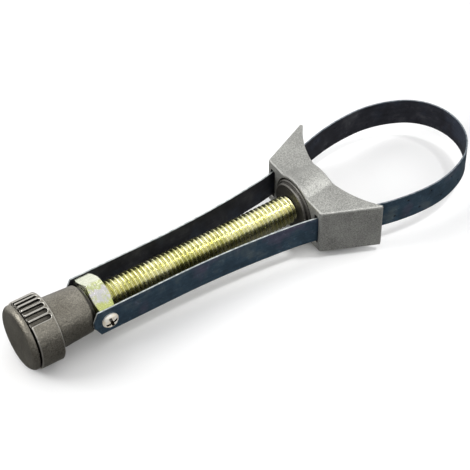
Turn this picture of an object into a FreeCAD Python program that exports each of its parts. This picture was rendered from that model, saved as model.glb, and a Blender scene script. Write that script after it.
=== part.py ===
import FreeCAD, Part
import math
import os

# Oil filter wrench with a steel strap. Millimetres, +Z up.
# X runs along the screw from the knob towards the filter loop, Z is the strap's width.
# Places along X below are measured from the back face of the saddle casting. The finished
# pieces are then moved so that the origin is the centre of the loop's round nose.

# ---- screw and nut
ROD_R = 7.9
ROD_REAR_X = -144.0
ROD_FRONT_X = -2.4
THREAD_CHAMFER = 1.2
JOURNAL_R = 5.0
JOURNAL_END_X = 17.4
RUNNING_FIT = 0.05
END_PLAY = 0.1

NUT_REAR_X = -127.4
NUT_FRONT_X = -117.3
NUT_FLATS = 26.4
NUT_BORE_R = ROD_R + RUNNING_FIT
NUT_CHAMFER_RISE = 1.1

# ---- knob
KNOB_FRONT_X = -167.3
KNOB_FACE_R = 14.0
KNOB_RIM_X = -164.7
KNOB_RIM_R = 17.6
KNOB_GROOVE_R = 15.6
KNOB_GROOVE_X = -163.5
COLLAR_R = 18.4
COLLAR_FRONT_X = -162.8
COLLAR_REAR_X = -149.7
NECK_R_REAR = 14.1
NECK_R_FRONT = 12.9
NECK_END_X = -129.7
FLUTES_PER_GROUP = 8
FLUTE_STEP_DEG = 11.7
FLUTE_GROUP_DEG = -14.5
FLUTE_WIDTH = 2.5
FLUTE_DEPTH = 1.9
FLUTE_END_X = -151.1
STOP_WASHER_R = 11.2

# ---- strap
STRAP_T = 0.8
STRAP_W = 17.0
LEG_Y = NUT_FLATS / 2 + STRAP_T / 2
STRAP_END_X = -131.0
UPPER_CUT = (2.5, 6.0)
LOWER_CUT = (4.0, 7.5)
LEG_BEND_X = -84.0
SPREAD_START_X = -12.0
SPREAD_X = 12.0
LEG_ANGLE = math.radians(7.5)
SPREAD_ANGLE = math.radians(17.2)
LOOP_HALF_WIDTH = 34.2
LOOP_WIDEST_X = 63.5
LOOP_NOSE_R = 31.0
LOOP_NOSE_X = 76.2
STRAP_SPLIT_X = 18.0

# ---- strap screws
SCREW_X = -121.9
SCREW_HEAD_R = 4.6
SCREW_HEAD_H = 2.6
SCREW_SHANK_R = 2.0
SCREW_SHANK_L = 5.2
CROSS_WIDTH = 1.5
CROSS_SPAN = 6.6
CROSS_DEPTH = 1.8
CROSS_TURN_DEG = -16

# ---- saddle casting
SADDLE_HALF_H = 14.5
SADDLE_BACK_Y = 24.3
SADDLE_TIP_X = 33.4
SADDLE_TIP_Y = 39.2
SADDLE_HOLLOW_X = 18.0
BULGE_BACK_R = 18.0
BULGE_FRONT_R = 15.8
BULGE_BLEND_R = 5.0
POCKET_R = 15.9
POCKET_FLOOR_X = 4.2
WALL = 2.3
COUNTERBORE_R = 9.0
COUNTERBORE_X = 14.6
SLOT_HALF_H = 9.6
SLOT_BACK_Y = 18.0
SLOT_INNER_Y = 24.0
TIP_R = 1.0
CORNER_R = 1.8
OUTLINE_R = 1.0

# ---- pieces on the journal
DISC_R = 15.2
DISC_STEP_R = 13.7
DISC_STEP_X = -0.6
WASHER_R = 8.4
WASHER_T = 1.0
RING_R = 7.6
RING_T = 1.0
RING_MOUTH = 4.4

X_AXIS = FreeCAD.Vector(1, 0, 0)
Y_AXIS = FreeCAD.Vector(0, 1, 0)
Z_AXIS = FreeCAD.Vector(0, 0, 1)
BIG = 80.0


def vec(x, y, z=0.0):
    return FreeCAD.Vector(x, y, z)


def cyl_x(radius, x_from, x_to):
    """A round bar along the screw's axis."""
    return Part.makeCylinder(radius, x_to - x_from, vec(x_from, 0, 0), X_AXIS)


def turned(outline):
    """Revolve a closed outline of (x, radius) points about the screw's axis."""
    points = [vec(x, r) for x, r in outline]
    wire = Part.makePolygon(points + [points[0]])
    return Part.Face(wire).revolve(vec(0, 0, 0), X_AXIS, 360)


def prism(points, half_height):
    """Extrude a closed plan outline symmetrically about Z = 0."""
    corners = [vec(x, y, -half_height) for x, y in points]
    wire = Part.makePolygon(corners + [corners[0]])
    return Part.Face(wire).extrude(vec(0, 0, 2 * half_height))


def mirrored_y(shape):
    return shape.mirror(vec(0, 0, 0), Y_AXIS)


# ---------------------------------------------------------------- knob and screw

def knob_blank():
    """Domed face, groove, collar and neck, turned as one casting."""
    centre = Part.makePolygon([vec(KNOB_RIM_X, KNOB_RIM_R), vec(KNOB_GROOVE_X, KNOB_RIM_R),
                               vec(KNOB_GROOVE_X, KNOB_GROOVE_R),
                               vec(COLLAR_FRONT_X, KNOB_GROOVE_R),
                               vec(COLLAR_FRONT_X, COLLAR_R), vec(COLLAR_REAR_X, COLLAR_R),
                               vec(COLLAR_REAR_X, NECK_R_REAR), vec(NECK_END_X, NECK_R_FRONT),
                               vec(NECK_END_X, 0), vec(KNOB_FRONT_X, 0)])
    shoulder = vec(KNOB_FRONT_X + 0.3, KNOB_FACE_R)
    bulge = vec(KNOB_FRONT_X + 1.3, KNOB_RIM_R - 0.8)
    face = Part.Arc(vec(KNOB_FRONT_X, 0), vec(KNOB_FRONT_X + 0.08, shoulder.y / 2), shoulder)
    rim = Part.Arc(shoulder, bulge, vec(KNOB_RIM_X, KNOB_RIM_R))
    wire = Part.Wire([face.toShape(), rim.toShape()] + centre.Edges)
    return Part.Face(wire).revolve(vec(0, 0, 0), X_AXIS, 360)


def flute(angle_deg):
    """One blind flute, open at the groove and round at its other end."""
    round_x = FLUTE_END_X - FLUTE_WIDTH / 2
    floor_r = COLLAR_R - FLUTE_DEPTH
    length = round_x - KNOB_GROOVE_X
    slot = Part.makeBox(length, FLUTE_WIDTH, 4.0, vec(KNOB_GROOVE_X, -FLUTE_WIDTH / 2, floor_r))
    end = Part.makeCylinder(FLUTE_WIDTH / 2, 4.0, vec(round_x, 0, floor_r), Z_AXIS)
    tool = slot.fuse(end)
    tool.rotate(vec(0, 0, 0), X_AXIS, angle_deg)
    return tool


def rounded(shape, radius, chosen):
    """Fillet the edges that chosen() accepts."""
    edges = [edge for edge in shape.Edges if chosen(edge)]
    return shape.makeFillet(radius, edges)


def is_circle_at(edge, x, radius):
    """True for a full circle about the screw's axis, at this place and radius."""
    box = edge.BoundBox
    in_plane = box.XLength < 0.05 and abs(box.XMin - x) < 0.05
    return in_plane and abs(box.YLength / 2 - radius) < 0.05 and abs(box.ZMax - radius) < 0.05


def make_knob():
    blank = knob_blank()
    places = [(COLLAR_REAR_X, COLLAR_R), (COLLAR_FRONT_X, COLLAR_R),
              (KNOB_GROOVE_X, KNOB_RIM_R), (NECK_END_X, NECK_R_FRONT)]
    for x, radius in places:
        blank = rounded(blank, 0.5, lambda edge: is_circle_at(edge, x, radius))
    blank = rounded(blank, 1.0, lambda edge: is_circle_at(edge, COLLAR_REAR_X, NECK_R_REAR))
    first = FLUTE_GROUP_DEG - FLUTE_STEP_DEG * (FLUTES_PER_GROUP - 1) / 2
    for group_angle in (0, 180):
        for index in range(FLUTES_PER_GROUP):
            blank = blank.cut(flute(group_angle + first + index * FLUTE_STEP_DEG))
    return blank.cut(cyl_x(ROD_R, ROD_REAR_X, NECK_END_X + 1))


def make_threaded_rod():
    """Bar at the thread's outer size, with a journal that turns in the saddle."""
    tip = 0.6
    return turned([(ROD_REAR_X, 0), (ROD_REAR_X, ROD_R), (ROD_FRONT_X - THREAD_CHAMFER, ROD_R),
                   (ROD_FRONT_X, ROD_R - THREAD_CHAMFER), (ROD_FRONT_X, JOURNAL_R),
                   (JOURNAL_END_X - tip, JOURNAL_R), (JOURNAL_END_X, JOURNAL_R - tip),
                   (JOURNAL_END_X, 0)])


def make_stop_washer():
    """Plain ring between the knob's neck and the nut's first position."""
    edge = 0.4
    front = NUT_REAR_X - END_PLAY
    return turned([(NECK_END_X, ROD_R), (NECK_END_X, STOP_WASHER_R),
                   (front - edge, STOP_WASHER_R), (front, STOP_WASHER_R - edge), (front, ROD_R)])


# ---------------------------------------------------------------- nut and strap screws

def make_hex_nut():
    """Hexagon with flats facing +Y and -Y, chamfered at both faces, tapped on two flats."""
    corner_r = NUT_FLATS / math.sqrt(3)
    length = NUT_FRONT_X - NUT_REAR_X
    corners = []
    for index in range(6):
        angle = math.radians(90 + 60 * index)
        corners.append(vec(NUT_REAR_X, corner_r * math.cos(angle), corner_r * math.sin(angle)))
    hexagon = Part.Face(Part.makePolygon(corners + [corners[0]])).extrude(vec(length, 0, 0))
    face_r = NUT_FLATS / 2 - 0.3
    over = corner_r + 0.3
    rise = NUT_CHAMFER_RISE
    barrel = turned([(NUT_REAR_X, 0), (NUT_REAR_X, face_r), (NUT_REAR_X + rise, over),
                     (NUT_FRONT_X - rise, over), (NUT_FRONT_X, face_r), (NUT_FRONT_X, 0)])
    nut = hexagon.common(barrel).cut(cyl_x(NUT_BORE_R, NUT_REAR_X - 1, NUT_FRONT_X + 1))
    for side in (1, -1):
        start = vec(SCREW_X, side * (NUT_BORE_R - 1), 0)
        nut = nut.cut(Part.makeCylinder(SCREW_SHANK_R, NUT_FLATS, start, Y_AXIS * side))
    return nut


def make_strap_screw():
    """Pan head screw with a cross recess, on the +Y side."""
    under_head = NUT_FLATS / 2 + STRAP_T
    top = under_head + SCREW_HEAD_H
    tip = under_head - SCREW_SHANK_L
    rim = vec(SCREW_HEAD_R, under_head + 0.9)
    crown = Part.Arc(rim, vec(SCREW_HEAD_R - 1.1, top - 0.5), vec(0, top))
    rest = Part.makePolygon([vec(0, top), vec(0, tip), vec(SCREW_SHANK_R - 0.4, tip),
                             vec(SCREW_SHANK_R, tip + 0.4), vec(SCREW_SHANK_R, under_head),
                             vec(SCREW_HEAD_R - 0.1, under_head), rim])
    wire = Part.Wire([crown.toShape()] + rest.Edges)
    screw = Part.Face(wire).revolve(vec(0, 0, 0), Y_AXIS, 360)
    for turn in (CROSS_TURN_DEG, CROSS_TURN_DEG + 90):
        arm = Part.makeBox(CROSS_SPAN, SCREW_HEAD_H, CROSS_WIDTH,
                           vec(-CROSS_SPAN / 2, top - CROSS_DEPTH, -CROSS_WIDTH / 2))
        arm.rotate(vec(0, 0, 0), Y_AXIS, turn)
        screw = screw.cut(arm)
    screw.translate(vec(SCREW_X, 0, 0))
    return screw


# ---------------------------------------------------------------- strap

def line(start, end):
    return Part.LineSegment(start, end).toShape()


def bend(start, heading, end_heading, length_x):
    """A tangent arc that advances length_x along X. Returns its edge and its end."""
    radius = length_x / (math.sin(end_heading) - math.sin(heading))
    points = []
    for angle in ((heading + end_heading) / 2, end_heading):
        ahead = radius * (math.sin(angle) - math.sin(heading))
        across = radius * (math.cos(heading) - math.cos(angle))
        points.append(start + vec(ahead, across))
    return Part.Arc(start, points[0], points[1]).toShape(), points[1]


def leg_edges():
    """Centre line of the +Y leg: straight on the nut, then two bends outwards."""
    foot = vec(STRAP_END_X, LEG_Y)
    bend_start = vec(LEG_BEND_X, LEG_Y)
    slow, point = bend(bend_start, 0.0, LEG_ANGLE, SPREAD_START_X - LEG_BEND_X)
    quick, point = bend(point, LEG_ANGLE, SPREAD_ANGLE, SPREAD_X - SPREAD_START_X)
    split = point + vec(1, math.tan(SPREAD_ANGLE)) * (STRAP_SPLIT_X - SPREAD_X)
    return [line(foot, bend_start), slow, quick, line(point, split)], split


def loop_edges():
    """Centre line of the loop's +Y half, from inside the saddle to the tip of the nose."""
    split = leg_edges()[1]
    rise = math.tan(SPREAD_ANGLE)
    back = math.tan(SPREAD_ANGLE / 2)
    free = LOOP_HALF_WIDTH - split.y - back * (LOOP_WIDEST_X - STRAP_SPLIT_X)
    spread_end = split + vec(1, rise) * (free / (rise - back))
    inward, widest = bend(spread_end, SPREAD_ANGLE, 0.0, LOOP_WIDEST_X - spread_end.x)
    ahead = LOOP_NOSE_X - LOOP_WIDEST_X
    above = LOOP_HALF_WIDTH - LOOP_NOSE_R
    side_turn = -2 * math.atan2(above, ahead)
    side_radius = LOOP_NOSE_R - ahead / math.sin(side_turn)
    side, point = bend(widest, 0.0, side_turn, -side_radius * math.sin(side_turn))
    tip = vec(LOOP_NOSE_X + LOOP_NOSE_R, 0)
    middle_angle = (math.pi / 2 + side_turn) / 2
    middle = vec(LOOP_NOSE_X + LOOP_NOSE_R * math.cos(middle_angle),
                 LOOP_NOSE_R * math.sin(middle_angle))
    nose = Part.Arc(point, middle, tip).toShape()
    return [line(split, spread_end), inward, side, nose]


def band(edges):
    """A strap of full width and thickness along a centre line."""
    path = Part.Wire(edges)
    start = edges[0].valueAt(edges[0].FirstParameter)
    along = edges[0].tangentAt(edges[0].FirstParameter)
    across = vec(-along.y, along.x) * (STRAP_T / 2)
    up = vec(0, 0, STRAP_W / 2)
    corners = [start - across - up, start + across - up, start + across + up,
               start - across + up]
    profile = Part.makePolygon(corners + [corners[0]])
    return path.makePipeShell([profile], True, False)


def make_strap_leg():
    """The +Y leg, with cut corners and a screw hole at its end."""
    leg = band(leg_edges()[0])
    for side, (along, across) in ((1, UPPER_CUT), (-1, LOWER_CUT)):
        top = side * STRAP_W / 2
        corner = [vec(STRAP_END_X, 0, top), vec(STRAP_END_X + along, 0, top),
                  vec(STRAP_END_X, 0, top - side * across)]
        wedge = Part.Face(Part.makePolygon(corner + [corner[0]])).extrude(vec(0, BIG, 0))
        leg = leg.cut(wedge)
    hole = Part.makeCylinder(SCREW_SHANK_R + 0.2, BIG, vec(SCREW_X, 0, 0), Y_AXIS)
    return leg.cut(hole)


def make_strap_loop():
    half = band(loop_edges())
    return half.fuse(mirrored_y(half)).removeSplitter()


# ---------------------------------------------------------------- saddle

def wall_slope():
    return (SADDLE_TIP_Y - SADDLE_BACK_Y) / SADDLE_TIP_X


def wall_inside_y(x):
    """Inner face of the saddle's end wall, beside the strap."""
    thickness_y = WALL * math.hypot(1, wall_slope())
    return SADDLE_BACK_Y - thickness_y + wall_slope() * x


def concave_radius():
    """Radius of the face that meets the filter."""
    depth = SADDLE_TIP_X - SADDLE_HOLLOW_X
    return (SADDLE_TIP_Y ** 2 + depth ** 2) / (2 * depth)


def strap_slot():
    """Way through the casting for the strap, beside the +Y end wall."""
    front = SADDLE_TIP_X + 5
    return prism([(-1, SLOT_BACK_Y), (STRAP_SPLIT_X, SLOT_INNER_Y), (front, SLOT_INNER_Y),
                  (front, wall_inside_y(front)), (-1, wall_inside_y(-1))], SLOT_HALF_H)


def is_upright(edge):
    """True for the casting's edges along Z, at its back corners and at its tips."""
    box = edge.BoundBox
    return box.XLength + box.YLength < 0.1 and box.ZLength > 2 * SADDLE_HALF_H - 0.1


def is_bulge_foot(edge):
    """True for the lines where the round bulge leaves the flat faces."""
    box = edge.BoundBox
    flat = box.ZLength < 0.01 and abs(abs(box.ZMin) - SADDLE_HALF_H) < 0.01
    return flat and box.XMin < 0.1 and abs(edge.CenterOfMass.y) < BULGE_BACK_R and box.XLength > 5


def is_outline(edge):
    """True for the edges between the casting's two broad sides and its upright faces."""
    box = edge.BoundBox
    on_broad_side = min(abs(box.ZMin), abs(box.ZMax)) > SADDLE_HALF_H - 0.1
    along_bulge = box.XLength > 10 and abs(edge.CenterOfMass.y) < BULGE_BACK_R + 1
    return on_broad_side and not along_bulge


def make_saddle_casting():
    """Flared body with a round bulge over the screw's end and a slot for each strap leg."""
    body = prism([(0, -SADDLE_BACK_Y), (SADDLE_TIP_X, -SADDLE_TIP_Y),
                  (SADDLE_TIP_X, SADDLE_TIP_Y), (0, SADDLE_BACK_Y)], SADDLE_HALF_H)
    radius = concave_radius()
    filter_face = Part.makeCylinder(radius, BIG, vec(SADDLE_HOLLOW_X + radius, 0, -BIG / 2))
    body = body.cut(filter_face)
    body = rounded(body, CORNER_R, lambda edge: is_upright(edge) and edge.BoundBox.XMax < 1)
    body = rounded(body, TIP_R, lambda edge: is_upright(edge) and edge.BoundBox.XMin > 1)
    bulge = Part.makeCone(BULGE_BACK_R, BULGE_FRONT_R, SADDLE_TIP_X, vec(0, 0), X_AXIS)
    body = body.fuse(bulge.cut(filter_face)).removeSplitter()
    body = rounded(body, BULGE_BLEND_R, is_bulge_foot)
    body = rounded(body, OUTLINE_R, is_outline)
    body = body.cut(cyl_x(POCKET_R, -1, POCKET_FLOOR_X))
    body = body.cut(strap_slot()).cut(mirrored_y(strap_slot()))
    body = body.cut(cyl_x(JOURNAL_R + RUNNING_FIT, 0, SADDLE_TIP_X))
    body = body.cut(cyl_x(COUNTERBORE_R, COUNTERBORE_X, SADDLE_TIP_X))
    return body.removeSplitter()


def make_thrust_disc():
    """Stepped disc on the journal, which pushes on the floor of the saddle's pocket."""
    front = POCKET_FLOOR_X - END_PLAY
    edge = 0.5
    return turned([(ROD_FRONT_X, JOURNAL_R), (ROD_FRONT_X, DISC_STEP_R - edge),
                   (ROD_FRONT_X + edge, DISC_STEP_R), (DISC_STEP_X, DISC_STEP_R),
                   (DISC_STEP_X, DISC_R - edge), (DISC_STEP_X + edge, DISC_R),
                   (front, DISC_R), (front, JOURNAL_R)])


def make_journal_washer():
    """Flat washer in the saddle's counterbore."""
    front = COUNTERBORE_X + WASHER_T
    return turned([(COUNTERBORE_X, JOURNAL_R + 0.3), (COUNTERBORE_X, WASHER_R),
                   (front, WASHER_R), (front, JOURNAL_R + 0.3)])


def make_retaining_ring():
    """Open ring on the journal in front of the washer, which holds the saddle on."""
    back = COUNTERBORE_X + WASHER_T + END_PLAY
    ring = cyl_x(RING_R, back, back + RING_T).cut(cyl_x(JOURNAL_R, back - 1, back + RING_T + 1))
    mouth = Part.makeBox(RING_T + 2, RING_MOUTH, BIG, vec(back - 1, -RING_MOUTH / 2, 0))
    return ring.cut(mouth)


# ---------------------------------------------------------------- export

def main():
    screw = make_strap_screw()
    leg = make_strap_leg()
    pieces = {
        "knob": make_knob(),
        "threaded_rod": make_threaded_rod(),
        "stop_washer": make_stop_washer(),
        "hex_nut": make_hex_nut(),
        "strap_screw_left": screw,
        "strap_screw_right": screw.mirror(vec(0, 0, 0), Y_AXIS),
        "strap_leg_left": leg,
        "strap_leg_right": mirrored_y(leg),
        "strap_loop": make_strap_loop(),
        "saddle_casting": make_saddle_casting(),
        "thrust_disc": make_thrust_disc(),
        "journal_washer": make_journal_washer(),
        "retaining_ring": make_retaining_ring(),
    }
    os.makedirs("parts", exist_ok=True)
    for name, shape in pieces.items():
        shape = shape.copy()
        shape.translate(vec(-LOOP_NOSE_X, 0, 0))
        shape.exportStep("parts/" + name + ".step")
        print(name, shape.isValid(), len(shape.Solids), round(shape.Volume, 1))


main()
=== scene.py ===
import math

import bpy
from mathutils import Matrix, Vector


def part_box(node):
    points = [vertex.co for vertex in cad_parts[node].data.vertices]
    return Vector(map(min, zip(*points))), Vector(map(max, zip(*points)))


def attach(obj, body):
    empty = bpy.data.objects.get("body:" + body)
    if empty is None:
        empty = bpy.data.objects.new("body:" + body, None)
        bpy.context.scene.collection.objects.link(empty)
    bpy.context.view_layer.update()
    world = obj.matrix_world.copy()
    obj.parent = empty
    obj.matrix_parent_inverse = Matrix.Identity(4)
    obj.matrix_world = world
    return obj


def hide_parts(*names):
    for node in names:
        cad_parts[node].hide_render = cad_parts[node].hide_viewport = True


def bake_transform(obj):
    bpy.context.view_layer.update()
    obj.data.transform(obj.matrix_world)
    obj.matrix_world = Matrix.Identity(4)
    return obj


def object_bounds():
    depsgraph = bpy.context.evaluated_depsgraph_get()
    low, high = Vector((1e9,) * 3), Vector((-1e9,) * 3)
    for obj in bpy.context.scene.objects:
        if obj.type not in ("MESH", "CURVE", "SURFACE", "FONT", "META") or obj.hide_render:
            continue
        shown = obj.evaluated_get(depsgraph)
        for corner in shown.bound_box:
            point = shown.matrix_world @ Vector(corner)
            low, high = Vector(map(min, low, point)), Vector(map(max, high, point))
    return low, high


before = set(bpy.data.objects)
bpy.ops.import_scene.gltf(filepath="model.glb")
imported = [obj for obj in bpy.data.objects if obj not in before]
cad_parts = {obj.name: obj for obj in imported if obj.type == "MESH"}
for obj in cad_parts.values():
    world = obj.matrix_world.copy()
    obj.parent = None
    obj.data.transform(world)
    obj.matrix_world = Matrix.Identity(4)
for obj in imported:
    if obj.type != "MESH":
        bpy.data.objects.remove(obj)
cad_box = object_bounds()

MM = 0.001

# ---------------------------------------------------------------- sizes, in metres
# Places along X are measured from the saddle's back face, as in the CAD model.

SADDLE_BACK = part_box("saddle_casting")[0].x
STRAP_T = 0.8 * MM
STRAP_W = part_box("strap_loop")[1].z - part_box("strap_loop")[0].z
NUT_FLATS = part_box("hex_nut")[1].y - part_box("hex_nut")[0].y
LEG_Y = NUT_FLATS / 2 + STRAP_T / 2
STRAP_END_X = -131.0 * MM
UPPER_CUT = (2.5 * MM, 6.0 * MM)
LOWER_CUT = (4.0 * MM, 7.5 * MM)
LEG_BEND_X = -84.0 * MM
SPREAD_START_X = -12.0 * MM
SPREAD_X = 12.0 * MM
STRAP_SPLIT_X = 18.0 * MM
LEG_ANGLE = math.radians(7.5)
SPREAD_ANGLE = math.radians(17.2)
LOOP_HALF_WIDTH = 34.2 * MM
LOOP_WIDEST_X = 63.5 * MM
LOOP_NOSE_X = 76.2 * MM
LOOP_NOSE_R = 31.0 * MM
DIMPLE_SPACING = 15.0 * MM
DIMPLE_ROW_Z = 4.2 * MM
DIMPLE_DEPTH = 0.55 * MM
DIMPLE_R = 0.85 * MM
# Spacing of points along the strap's line, the same up to its cut corners, and strips across it.
STRAP_STEP = 0.6 * MM
CUT_STEP = 0.5 * MM
ACROSS = 36

ROD_R = 7.9 * MM
THREAD_PITCH = 2.5 * MM
THREAD_DEPTH = 1.35 * MM
THREAD_CREST = 0.16
THREAD_ROOT = 0.14
RUN_OUT_TURNS = 1.2
RUN_OUT_DEPTH = 1.3 * MM
ROD_REAR_X = -144.0 * MM
ROD_FRONT_X = -2.4 * MM
JOURNAL_R = 5.0 * MM
JOURNAL_END_X = 17.4 * MM
JOURNAL_TIP = 0.6 * MM

KNOB_FACE_X = -165.0 * MM
COLLAR_X = (-163.7 * MM, -147.9 * MM)
SADDLE_X = (-1.0 * MM, 40.0 * MM)
SADDLE_MIDDLE_X = 16.0 * MM

# ---------------------------------------------------------------- camera's place

AZIMUTH = math.radians(33.586)
ELEVATION = math.radians(46.872)
AIM_X = -41.02 * MM
DISTANCE = 57.78 * STRAP_W
ASIDE = 0.1788 * STRAP_W
RAISED = 0.0672 * STRAP_W
SENSOR_WIDTH = 36.0
FOCAL_PIXELS = 1884.6
PICTURE_PIXELS = 470


def place(x):
    """Moves a distance from the saddle's back face into the frame's own X."""
    return SADDLE_BACK + x


# ---------------------------------------------------------------- mesh helpers

def make_object(name, vertices, faces):
    mesh = bpy.data.meshes.new(name)
    mesh.from_pydata(vertices, [], faces)
    mesh.validate()
    mesh.polygons.foreach_set("use_smooth", [True] * len(mesh.polygons))
    piece = bpy.data.objects.new(name, mesh)
    bpy.context.scene.collection.objects.link(piece)
    return piece


def grid_faces(rows, columns, closed_columns):
    """Quads between neighbouring rows of points, numbered row by row."""
    faces = []
    span = columns if closed_columns else columns - 1
    for row in range(rows - 1):
        for column in range(span):
            after = (column + 1) % columns
            a = row * columns + column
            b = row * columns + after
            faces.append((a, b, b + columns, a + columns))
    return faces


# ---------------------------------------------------------------- strap

def bend_points(start, heading, end_heading, length_x, step):
    """Points along a tangent arc that advances length_x along X, start left out."""
    radius = length_x / (math.sin(end_heading) - math.sin(heading))
    count = max(2, math.ceil(abs(radius * (end_heading - heading)) / step))
    points = []
    for index in range(1, count + 1):
        angle = heading + (end_heading - heading) * index / count
        ahead = radius * (math.sin(angle) - math.sin(heading))
        across = radius * (math.cos(heading) - math.cos(angle))
        points.append(start + Vector((ahead, across)))
    return points


def line_points(start, end, step):
    """Points along a straight run, start left out."""
    count = max(1, math.ceil((end - start).length / step))
    return [start.lerp(end, index / count) for index in range(1, count + 1)]


def leg_line(step):
    """Centre line of the +Y leg, from its end on the nut to the split in the saddle."""
    points = [Vector((STRAP_END_X, LEG_Y))]
    points += line_points(points[-1], Vector((STRAP_END_X + LOWER_CUT[0], LEG_Y)), CUT_STEP)
    points += line_points(points[-1], Vector((LEG_BEND_X, LEG_Y)), step)
    slow = SPREAD_START_X - LEG_BEND_X
    points += bend_points(points[-1], 0.0, LEG_ANGLE, slow, step)
    quick = SPREAD_X - SPREAD_START_X
    points += bend_points(points[-1], LEG_ANGLE, SPREAD_ANGLE, quick, step)
    rise = Vector((1, math.tan(SPREAD_ANGLE)))
    points += line_points(points[-1], points[-1] + rise * (STRAP_SPLIT_X - SPREAD_X), step)
    return points


def loop_line(step):
    """Centre line of the loop, from the split on +Y, round the nose, to the split on -Y."""
    split = leg_line(step)[-1]
    rise = math.tan(SPREAD_ANGLE)
    back = math.tan(SPREAD_ANGLE / 2)
    free = LOOP_HALF_WIDTH - split.y - back * (LOOP_WIDEST_X - STRAP_SPLIT_X)
    spread_end = split + Vector((1, rise)) * (free / (rise - back))
    points = [split] + line_points(split, spread_end, step)
    points += bend_points(spread_end, SPREAD_ANGLE, 0.0, LOOP_WIDEST_X - spread_end.x, step)
    ahead = LOOP_NOSE_X - LOOP_WIDEST_X
    above = LOOP_HALF_WIDTH - LOOP_NOSE_R
    turn = -2 * math.atan2(above, ahead)
    side_radius = LOOP_NOSE_R - ahead / math.sin(turn)
    points += bend_points(points[-1], 0.0, turn, -side_radius * math.sin(turn), step)
    nose_start = math.pi / 2 + turn
    count = math.ceil(LOOP_NOSE_R * nose_start / step)
    for index in range(1, count + 1):
        angle = nose_start * (1 - index / count)
        nose = Vector((math.cos(angle), math.sin(angle))) * LOOP_NOSE_R
        points.append(Vector((LOOP_NOSE_X, 0)) + nose)
    mirrored = [Vector((p.x, -p.y)) for p in reversed(points[:-1])]
    return points + mirrored


def strap_section():
    """Closed outline of the strap's section: (out from the centre line, share of width)."""
    half_t = STRAP_T / 2
    edge = 0.16 * MM / (STRAP_W / 2)
    flat = [(-1 + edge) + (2 - 2 * edge) * k / ACROSS for k in range(ACROSS + 1)]
    outer = [(half_t, z) for z in flat]
    inner = [(-half_t, z) for z in reversed(flat)]
    top = [(half_t * 0.55, 1.0), (-half_t * 0.55, 1.0)]
    bottom = [(-half_t * 0.55, -1.0), (half_t * 0.55, -1.0)]
    return outer + top + inner + bottom


def dent(distance, z, dimples):
    """How far the strap is pushed inwards at a place on it, by its punched dimples."""
    total = 0.0
    for along, height in dimples:
        squared = ((distance - along) ** 2 + (z - height) ** 2) / DIMPLE_R ** 2
        if squared < 9:
            total += DIMPLE_DEPTH * math.exp(-squared)
    return -total


def cut_depth(distance, cut):
    """How much of the strap's width a cut corner takes away at a distance from its end."""
    along, across = cut
    return across * max(0.0, 1 - distance / along)


def strap_piece(name, points, dimples, cut_corners, metals):
    """A band of the strap's section along a plan line. Outwards is left of the line."""
    section = strap_section()
    vertices = []
    distance = 0.0
    last = len(points) - 1
    for index, point in enumerate(points):
        before = points[max(index - 1, 0)]
        after = points[min(index + 1, last)]
        along = (after - before).normalized()
        out = Vector((-along.y, along.x))
        if index:
            distance += (point - before).length
        top = STRAP_W / 2
        bottom = -STRAP_W / 2
        if cut_corners:
            top -= cut_depth(distance, UPPER_CUT)
            bottom += cut_depth(distance, LOWER_CUT)
        for offset, share in section:
            z = bottom + (top - bottom) * (share + 1) / 2
            shift = offset + dent(distance, z, dimples)
            spot = point + out * shift
            vertices.append((place(spot.x), spot.y, z))
    columns = len(section)
    faces = grid_faces(len(points), columns, True)
    faces.append(tuple(range(columns)))
    faces.append(tuple(range(len(vertices) - columns, len(vertices)))[::-1])
    piece = make_object(name, vertices, faces)
    set_material(piece, *metals)
    mark_edges(piece, columns, len(points))
    return piece


def mark_edges(piece, columns, rows):
    """Material slots: 0 for the outer face, 1 for narrow faces and cut ends, 2 for the inner."""
    inner_start = ACROSS + 3
    for polygon in piece.data.polygons:
        column = polygon.index % columns
        if polygon.index >= (rows - 1) * columns:
            polygon.material_index = 1
        elif column < ACROSS:
            polygon.material_index = 0
        elif inner_start <= column < inner_start + ACROSS:
            polygon.material_index = 2
        else:
            polygon.material_index = 1
        polygon.use_smooth = polygon.material_index != 1


def loop_dimples(length):
    """Two staggered rows of punched dimples along the loop."""
    dimples = []
    for index in range(int(length / DIMPLE_SPACING) + 1):
        dimples.append((DIMPLE_SPACING * (index + 0.25), DIMPLE_ROW_Z))
        dimples.append((DIMPLE_SPACING * (index + 0.75), -DIMPLE_ROW_Z))
    return dimples


def line_length(points):
    return sum((b - a).length for a, b in zip(points, points[1:]))


# ---------------------------------------------------------------- threaded rod

def thread_radius(x, angle):
    """Radius of the rod's surface at a place along it, counted from its rear end."""
    turns = x / THREAD_PITCH - angle / (2 * math.pi)
    phase = turns - math.floor(turns)
    slope = (1 - THREAD_CREST - THREAD_ROOT) / 2
    root_start = THREAD_CREST + slope
    root_end = root_start + THREAD_ROOT
    if phase < THREAD_CREST:
        height = 1.0
    elif phase < root_start:
        height = 1 - (phase - THREAD_CREST) / slope
    elif phase < root_end:
        height = 0.0
    else:
        height = (phase - root_end) / slope
    return ROD_R - THREAD_DEPTH * (1 - height)


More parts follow.
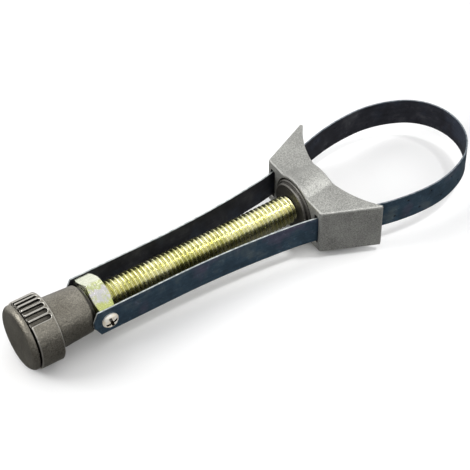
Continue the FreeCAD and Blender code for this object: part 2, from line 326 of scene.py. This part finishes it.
def rod_piece():
    """Rod with a helical thread that runs out at the disc, then its plain journal."""
    around = 72
    per_pitch = 12
    angles = [2 * math.pi * step / around for step in range(around)]
    length = ROD_FRONT_X - ROD_REAR_X
    count = round(length / THREAD_PITCH * per_pitch)
    core = ROD_R - 1.6 * THREAD_DEPTH
    rings = []
    for index in range(count + 1):
        x = length * index / count
        full = min(1.0, (length - x) / (RUN_OUT_TURNS * THREAD_PITCH))
        lost = (1 - full) * RUN_OUT_DEPTH
        rings.append([(ROD_REAR_X + x, max(thread_radius(x, angle) - lost, core), angle)
                      for angle in angles])
    ends = [(ROD_FRONT_X, JOURNAL_R), (JOURNAL_END_X - JOURNAL_TIP, JOURNAL_R),
            (JOURNAL_END_X, JOURNAL_R - JOURNAL_TIP)]
    for x, radius in ends:
        rings.append([(x, radius, angle) for angle in angles])
    vertices = []
    for ring in rings:
        for x, radius, angle in ring:
            vertices.append((place(x), radius * math.cos(angle), radius * math.sin(angle)))
    faces = grid_faces(len(rings), around, True)
    faces.append(tuple(range(around)))
    faces.append(tuple(range(len(vertices) - around, len(vertices)))[::-1])
    return make_object("threaded_rod_helix", vertices, faces)


# ---------------------------------------------------------------- cast and turned pieces

def formed_piece(name, node, voxel, smoothing):
    """A part's own shape with its edges rounded over, as casting or plating leaves them."""
    piece = bpy.data.objects.new(name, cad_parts[node].data.copy())
    bpy.context.scene.collection.objects.link(piece)
    piece.data.materials.clear()
    weld = piece.modifiers.new("weld", "WELD")
    weld.merge_threshold = 0.01 * MM
    remesh = piece.modifiers.new("remesh", "REMESH")
    remesh.mode = "VOXEL"
    remesh.voxel_size = voxel
    remesh.use_smooth_shade = True
    smooth = piece.modifiers.new("smooth", "SMOOTH")
    smooth.factor = 0.5
    smooth.iterations = smoothing
    apply_modifiers(piece)
    return piece


def apply_modifiers(piece):
    graph = bpy.context.evaluated_depsgraph_get()
    mesh = bpy.data.meshes.new_from_object(piece.evaluated_get(graph))
    piece.modifiers.clear()
    piece.data = mesh
    mesh.polygons.foreach_set("use_smooth", [True] * len(mesh.polygons))


# ---------------------------------------------------------------- materials

class Nodes:
    """Short calls for building a material's node tree."""

    def __init__(self, name):
        self.material = bpy.data.materials.new(name)
        self.material.use_nodes = True
        self.tree = self.material.node_tree
        self.shader = self.tree.nodes["Principled BSDF"]
        coordinates = self.tree.nodes.new("ShaderNodeTexCoord")
        self.place = coordinates.outputs["Object"]

    def add(self, kind, **inputs):
        node = self.tree.nodes.new(kind)
        for name, value in inputs.items():
            self.set(node.inputs[name.replace("_", " ")], value)
        return node

    def set(self, socket, value):
        if isinstance(value, bpy.types.NodeSocket):
            self.tree.links.new(value, socket)
        else:
            socket.default_value = value

    def shade(self, name, value):
        self.set(self.shader.inputs[name], value)

    def noise(self, scale, detail=3.0, roughness=0.55, stretch=None):
        vector = self.place
        if stretch:
            mapping = self.add("ShaderNodeMapping", Vector=self.place, Scale=stretch)
            vector = mapping.outputs["Vector"]
        node = self.add("ShaderNodeTexNoise", Vector=vector, Scale=scale, Detail=detail,
                        Roughness=roughness)
        return node.outputs["Fac"]

    def ramp(self, factor, stops):
        node = self.add("ShaderNodeValToRGB", Fac=factor)
        elements = node.color_ramp.elements
        while len(elements) < len(stops):
            elements.new(0.5)
        for element, (position, color) in zip(elements, stops):
            element.position = position
            element.color = (*color, 1.0)
        return node.outputs["Color"]

    def level(self, factor, low, high, from_low=0.3, from_high=0.7):
        """Brings a factor from its own span to low and high, and no further."""
        node = self.add("ShaderNodeMapRange", Value=factor)
        node.inputs["From Min"].default_value = from_low
        node.inputs["From Max"].default_value = from_high
        node.inputs["To Min"].default_value = low
        node.inputs["To Max"].default_value = high
        return node.outputs["Result"]

    def mix(self, factor, a, b, how="MIX"):
        node = self.tree.nodes.new("ShaderNodeMix")
        node.data_type = "RGBA"
        node.blend_type = how
        self.set(node.inputs["Factor"], factor)
        self.set(node.inputs[6], a)
        self.set(node.inputs[7], b)
        return node.outputs[2]

    def along(self, axis):
        """Where a point lies along X, Y or Z."""
        return self.add("ShaderNodeSeparateXYZ", Vector=self.place).outputs[axis]

    def pointiness(self):
        """Above 0.5 on outward edges and below it in hollows."""
        return self.add("ShaderNodeNewGeometry").outputs["Pointiness"]

    def occlusion(self, reach, only_local=True):
        """1 in the open, towards 0 in recesses narrower than the reach."""
        node = self.add("ShaderNodeAmbientOcclusion", Distance=reach)
        node.only_local = only_local
        return node.outputs["AO"]

    def bump(self, height, distance, normal=None):
        node = self.add("ShaderNodeBump", Height=height, Distance=distance, Strength=1.0)
        if normal:
            self.set(node.inputs["Normal"], normal)
        return node.outputs["Normal"]


def cast_metal(name, dark, light, worn_and_highlit_colour, edge_wear_and_highlight, metallic, roughness, worn_and_highlit_span):
    """Sand-textured casting: pitted grain, slow tones, painted shade in crevices and beside
    nearby parts, edges lightened over a span, partly rubbed bright and partly a painted
    highlight.
    """
    m = Nodes(name)
    grain = m.noise(1500, 4.0, 0.7)
    coarse = m.noise(700, 3.0, 0.6)
    slow = m.noise(90, 2.0, 0.5)
    tone = m.ramp(slow, [(0.3, dark), (0.7, light)])
    speckle = m.ramp(grain, [(0.34, (0.62, 0.62, 0.62)), (0.5, (1.0, 1.0, 1.0)),
                             (0.66, (1.5, 1.5, 1.48))])
    skin = m.mix(1.0, tone, speckle, "MULTIPLY")
    # Painted shade: occlusion that also counts other parts darkens crevices and the faces close
    # behind the disc and the strap legs.
    painted_shade = m.level(m.occlusion(5.0 * MM, False), 0.12, 1.0, 0.4, 0.85)
    skin = m.mix(1.0, skin, painted_shade, "MULTIPLY")
    # Outward edges within the span are lightened: partly rubbed bright by use, partly a painted
    # highlight along rims and flute crests.
    worn_and_highlit_edge = m.level(m.pointiness(), 0.0, 1.0, 0.508, 0.53)
    start, end = (place(x) for x in worn_and_highlit_span)
    past_start = m.level(m.along("X"), 0.0, 1.0, start, start + 0.1 * MM)
    before_end = m.level(m.along("X"), edge_wear_and_highlight, 0.0, end - 0.1 * MM, end)
    worn_and_highlit_edge = m.mix(1.0, m.mix(1.0, worn_and_highlit_edge, past_start, "MULTIPLY"), before_end, "MULTIPLY")
    m.shade("Base Color", m.mix(worn_and_highlit_edge, skin, (*worn_and_highlit_colour, 1.0)))
    m.shade("Metallic", metallic)
    m.shade("Roughness", m.level(grain, roughness - 0.12, roughness + 0.12))
    first = m.bump(coarse, 0.3 * MM)
    m.shade("Normal", m.bump(grain, 0.1 * MM, first))
    return m.material


def yellow_zinc(name, gold, roughness):
    """Yellow-passivated zinc of the given tones, with painted shade down in the thread."""
    m = Nodes(name)
    patches = m.noise(330, 2.0, 0.5)
    tint = m.ramp(patches, [(0.35, (0.9, 0.92, 0.86)), (0.65, (1.06, 1.05, 1.02))])
    skin = m.mix(1.0, gold(m), tint, "MULTIPLY")
    # Painted shade: local occlusion darkens the thread's roots and other narrow crevices.
    painted_shade = m.level(m.occlusion(1.5 * MM), 0.4, 1.0, 0.4, 0.8)
    m.shade("Base Color", m.mix(1.0, skin, painted_shade, "MULTIPLY"))
    m.shade("Metallic", 1.0)
    m.shade("Roughness", m.level(patches, roughness, roughness + 0.1))
    fine = m.noise(2600, 2.0, 0.5)
    m.shade("Normal", m.bump(fine, 0.03 * MM))
    return m.material


def rod_gold(m):
    """Green-gold with soft clouds."""
    clouds = m.noise(110, 3.0, 0.55)
    return m.ramp(clouds, [(0.36, (0.64, 0.62, 0.29)), (0.5, (0.84, 0.81, 0.45)),
                           (0.66, (0.92, 0.90, 0.62))])


def nut_gold(m):
    """Painted highlight on the nut's +Y side, made pale there; green-gold on its -Y side with a
    lilac cloud in the middle.
    """
    # Painted highlight: the +Y flats are pale where they would catch the overhead light; the
    # lilac clouds are the plating's own colour.
    side = m.level(m.along("Y"), 0.0, 1.0, -NUT_FLATS / 2, NUT_FLATS / 2)
    clouds = m.level(m.noise(260, 4.0, 0.65), -0.14, 0.14)
    highlight_side_and_clouds = m.add("ShaderNodeMath")
    m.set(highlight_side_and_clouds.inputs[0], side)
    m.set(highlight_side_and_clouds.inputs[1], clouds)
    return m.ramp(highlight_side_and_clouds.outputs["Value"],
                  [(0.12, (0.50, 0.54, 0.22)), (0.22, (0.60, 0.59, 0.60)),
                   (0.32, (0.62, 0.60, 0.65)), (0.42, (0.54, 0.58, 0.28)),
                   (0.56, (0.88, 0.9, 0.76))])


def blued_steel(name, deep, middle, pale, heat, roughness):
    """Blued spring steel: dark clouds, heat tints, faint rolling lines, scuffs, painted shade in
    the dimples.
    """
    m = Nodes(name)
    clouds = m.noise(75, 4.0, 0.65)
    tints = m.noise(48, 3.0, 0.6)
    lines = m.noise(900, 2.0, 0.5, stretch=(0.05, 0.05, 1.0))
    scuffs = m.noise(420, 5.0, 0.75)
    blue = m.ramp(clouds, [(0.34, deep), (0.52, middle), (0.7, pale)])
    skin = m.mix(m.level(tints, 0.0, 0.75, 0.54, 0.68), blue, (*heat, 1.0))
    streak = m.ramp(lines, [(0.35, (0.9, 0.9, 0.92)), (0.65, (1.1, 1.1, 1.08))])
    mark = m.ramp(scuffs, [(0.56, (1.0, 1.0, 1.0)), (0.72, (2.1, 2.0, 1.9))])
    skin = m.mix(1.0, skin, streak, "MULTIPLY")
    skin = m.mix(1.0, skin, mark, "MULTIPLY")
    # Painted shade: vertices sunk below their neighbours, mostly the punched dimples, are
    # darkened.
    painted_dimple_shade = m.level(m.pointiness(), 0.15, 1.0, 0.455, 0.49)
    m.shade("Base Color", m.mix(1.0, skin, painted_dimple_shade, "MULTIPLY"))
    m.shade("Metallic", 0.6)
    m.shade("Roughness", m.level(scuffs, roughness, roughness + 0.14))
    m.shade("Normal", m.bump(scuffs, 0.03 * MM))
    return m.material


def bare_edge(name, dark, light):
    """Sheared strap edge: bare steel, lightly scored."""
    m = Nodes(name)
    marks = m.noise(1400, 3.0, 0.6, stretch=(0.3, 0.3, 1.0))
    m.shade("Base Color", m.ramp(marks, [(0.35, dark), (0.65, light)]))
    m.shade("Metallic", 0.85)
    m.shade("Roughness", m.level(marks, 0.28, 0.45))
    m.shade("Normal", m.bump(marks, 0.03 * MM))
    return m.material


def dark_steel(name):
    """Oiled dark steel with small spots and lightened edges; its near-black also stands as
    painted shade on the stop ring, and the edges are partly rubbed bright, partly a painted
    highlight.
    """
    m = Nodes(name)
    marks = m.noise(900, 3.0, 0.6)
    skin = m.ramp(marks, [(0.3, (0.03, 0.028, 0.024)), (0.7, (0.085, 0.08, 0.07))])
    # Outward edges and rims turn lighter: partly rubbed bright, partly a painted highlight.
    worn_and_highlit_edge = m.level(m.pointiness(), 0.0, 1.0, 0.51, 0.545)
    m.shade("Base Color", m.mix(worn_and_highlit_edge, skin, (0.38, 0.365, 0.335, 1.0)))
    m.shade("Metallic", 0.65)
    m.shade("Roughness", m.level(marks, 0.3, 0.48))
    m.shade("Normal", m.bump(marks, 0.05 * MM))
    return m.material


def bright_screw(name):
    """Bright plated screw with a warm cast, its cross slot painted nearly black as shade."""
    m = Nodes(name)
    marks = m.noise(500, 3.0, 0.6)
    skin = m.ramp(marks, [(0.35, (0.86, 0.76, 0.58)), (0.65, (0.98, 0.96, 0.9))])
    # Painted shade: occlusion turns the cross slot nearly black.
    painted_recess_shade = m.ramp(m.occlusion(2.4 * MM), [(0.62, (0.02, 0.012, 0.005)), (0.88, (1, 1, 1))])
    m.shade("Base Color", m.mix(1.0, skin, painted_recess_shade, "MULTIPLY"))
    m.shade("Metallic", 0.35)
    m.shade("Roughness", m.level(marks, 0.08, 0.18))
    m.shade("Normal", m.bump(marks, 0.03 * MM))
    return m.material


def set_material(piece, *materials):
    piece.data.materials.clear()
    for material in materials:
        piece.data.materials.append(material)


# ---------------------------------------------------------------- camera, floor and light

def aim_camera():
    """The camera stands well back, to the knob's side, and looks down along the tool."""
    right = Vector((math.cos(AZIMUTH), -math.sin(AZIMUTH), 0))
    up = Vector((math.sin(AZIMUTH) * math.sin(ELEVATION),
                 math.cos(AZIMUTH) * math.sin(ELEVATION), math.cos(ELEVATION)))
    ahead = Vector((math.sin(AZIMUTH) * math.cos(ELEVATION),
                    math.cos(AZIMUTH) * math.cos(ELEVATION), -math.sin(ELEVATION)))
    aim_point = Vector((place(AIM_X), 0, 0))
    spot = aim_point + right * ASIDE + up * RAISED - ahead * DISTANCE
    data = bpy.data.cameras.new("camera")
    data.sensor_width = SENSOR_WIDTH
    data.lens = FOCAL_PIXELS / PICTURE_PIXELS * SENSOR_WIDTH
    data.clip_end = 10.0
    camera = bpy.data.objects.new("camera", data)
    bpy.context.scene.collection.objects.link(camera)
    turn = Matrix((right, up, -ahead)).transposed().to_4x4()
    camera.matrix_world = Matrix.Translation(spot) @ turn
    bpy.context.scene.camera = camera


def aim_light(name, data, spot, target):
    light = bpy.data.objects.new(name, data)
    bpy.context.scene.collection.objects.link(light)
    light.location = spot
    light.rotation_euler = (Vector(target) - Vector(spot)).to_track_quat("-Z", "Y").to_euler()


def area_light(name, spot, target, size, energy):
    """A soft square panel."""
    data = bpy.data.lights.new(name, "AREA")
    data.size = size
    data.energy = energy
    aim_light(name, data, spot, target)


def spot_light(name, spot, target, cone, energy):
    """A lamp with a soft-edged cone, for one part of the tool."""
    data = bpy.data.lights.new(name, "SPOT")
    data.spot_size = cone
    data.spot_blend = 1.0
    data.shadow_soft_size = 0.08
    data.energy = energy
    aim_light(name, data, spot, target)


def make_stage():
    floor_z = cad_box[0][2]
    size = 4.0
    corners = [(-size, -size, floor_z), (size, -size, floor_z),
               (size, size, floor_z), (-size, size, floor_z)]
    floor = make_object("floor", corners, [(0, 1, 2, 3)])
    m = Nodes("floor_white")
    m.shade("Base Color", (0.92, 0.92, 0.92, 1))
    m.shade("Roughness", 0.7)
    floor.data.materials.append(m.material)
    floor.visible_glossy = False
    make_world()
    middle = (place(-20 * MM), 0, 0)
    saddle = (place(SADDLE_MIDDLE_X), 0, 0)
    knob = (place(KNOB_FACE_X), 0, 0)
    area_light("side", (-0.7, 0.3, 0.42), middle, 0.3, 2.4)
    spot_light("key", (0.22, -0.16, 0.8), saddle, math.radians(11), 22.5)
    spot_light("face", (-0.75, 0.05, 0.1), knob, math.radians(9), 3.6)


def make_world():
    """White sky overhead and behind the tool, dark below and on the camera's side."""
    world = bpy.data.worlds.new("studio")
    bpy.context.scene.world = world
    world.use_nodes = True
    tree = world.node_tree
    coordinates = tree.nodes.new("ShaderNodeTexCoord")
    slope = tree.nodes.new("ShaderNodeVectorMath")
    slope.operation = "DOT_PRODUCT"
    slope.inputs[1].default_value = (0.15, 0.35, 0.92)
    tree.links.new(coordinates.outputs["Generated"], slope.inputs[0])
    fade = tree.nodes.new("ShaderNodeMapRange")
    fade.interpolation_type = "SMOOTHSTEP"
    fade.inputs["From Min"].default_value = -0.3
    fade.inputs["From Max"].default_value = 0.3
    fade.inputs["To Min"].default_value = 0.09
    fade.inputs["To Max"].default_value = 1.05
    tree.links.new(slope.outputs["Value"], fade.inputs["Value"])
    background = tree.nodes["Background"]
    tree.links.new(fade.outputs["Result"], background.inputs["Strength"])
    background.inputs["Color"].default_value = (1, 1, 1, 1)


# ---------------------------------------------------------------- assembly

def build_strap(outer, inner):
    leg_edge = bare_edge("bare_edge", (0.34, 0.38, 0.38), (0.72, 0.76, 0.76))
    loop_edge = bare_edge("dull_edge", (0.1, 0.12, 0.14), (0.28, 0.31, 0.34))
    leg = leg_line(STRAP_STEP)
    loop = loop_line(STRAP_STEP)
    pieces = {
        "strap_leg_left": ("spring_strap_left", leg, [], leg_edge),
        "strap_leg_right": ("spring_strap_right", leg, [], leg_edge),
        "strap_loop": ("spring_strap_loop", loop, loop_dimples(line_length(loop)), loop_edge),
    }
    for node, (name, points, dimples, edge) in pieces.items():
        cut = node != "strap_loop"
        piece = strap_piece(name, points, dimples, cut, (outer, edge, inner))
        if node == "strap_leg_right":
            piece.data.transform(Matrix.Scale(-1, 4, Vector((0, 1, 0))))
            piece.data.flip_normals()
        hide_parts(node)
        if node == "strap_loop":
            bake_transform(piece)
        else:
            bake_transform(piece)


def main():
    bpy.context.scene.view_settings.view_transform = "Standard"
    aim_camera()
    make_stage()
    knob_metal = cast_metal("knob_cast", (0.19, 0.176, 0.147), (0.285, 0.268, 0.228),
                            (0.66, 0.64, 0.59), 0.75, 0.9, 0.38, COLLAR_X)
    saddle_metal = cast_metal("saddle_cast", (0.26, 0.26, 0.245), (0.34, 0.34, 0.32),
                              (0.74, 0.73, 0.7), 0.18, 0.6, 0.42, SADDLE_X)
    rod_zinc = yellow_zinc("yellow_zinc_rod", rod_gold, 0.2)
    nut_zinc = yellow_zinc("yellow_zinc_nut", nut_gold, 0.2)
    dark = dark_steel("dark_steel")
    screw_metal = bright_screw("bright_screw")
    outer = blued_steel("blued_outer", (0.034, 0.062, 0.09), (0.05, 0.092, 0.135),
                        (0.11, 0.145, 0.165), (0.12, 0.11, 0.17), 0.3)
    # The inner faces get a darker, greyer copy of the blued steel: partly the strap's own duller
    # side, partly painted shade on faces turned in towards the loop.
    inner = blued_steel("blued_inner_shaded", (0.027, 0.028, 0.036), (0.042, 0.044, 0.057),
                        (0.09, 0.093, 0.105), (0.06, 0.075, 0.11), 0.36)
    build_strap(outer, inner)
    rod = rod_piece()
    set_material(rod, rod_zinc)
    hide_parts("threaded_rod")
    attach(rod, "screw")
    formed = {
        "saddle_casting": ("saddle_body", "saddle", "cast_saddle", saddle_metal, 0.4, 3),
        "knob": ("knob_body", "screw", "cast_knob", knob_metal, 0.3, 6),
        "thrust_disc": ("disc_body", "screw", "dark_steel", dark, 0.25, 1),
        # The stop ring's near-black steel also stands as painted shade in the gap between the
        # knob's neck and the nut.
        "stop_washer": ("stop_ring", "screw", "dark_steel", dark, 0.25, 1),
        "hex_nut": ("nut_body", "nut", "zinc_yellow", nut_zinc, 0.22, 2),
        "strap_screw_left": ("strap_pin_left", "nut", "bright_screw", screw_metal, 0.13, 2),
        "strap_screw_right": ("strap_pin_right", "nut", "bright_screw", screw_metal, 0.13, 2),
    }
    for node, (name, body, slot, metal, voxel, smoothing) in formed.items():
        piece = formed_piece(name, node, voxel * MM, smoothing)
        set_material(piece, metal)
        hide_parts(node)
        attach(piece, body)
    for node in ("journal_washer", "retaining_ring"):
        set_material(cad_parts[node], dark)


main()
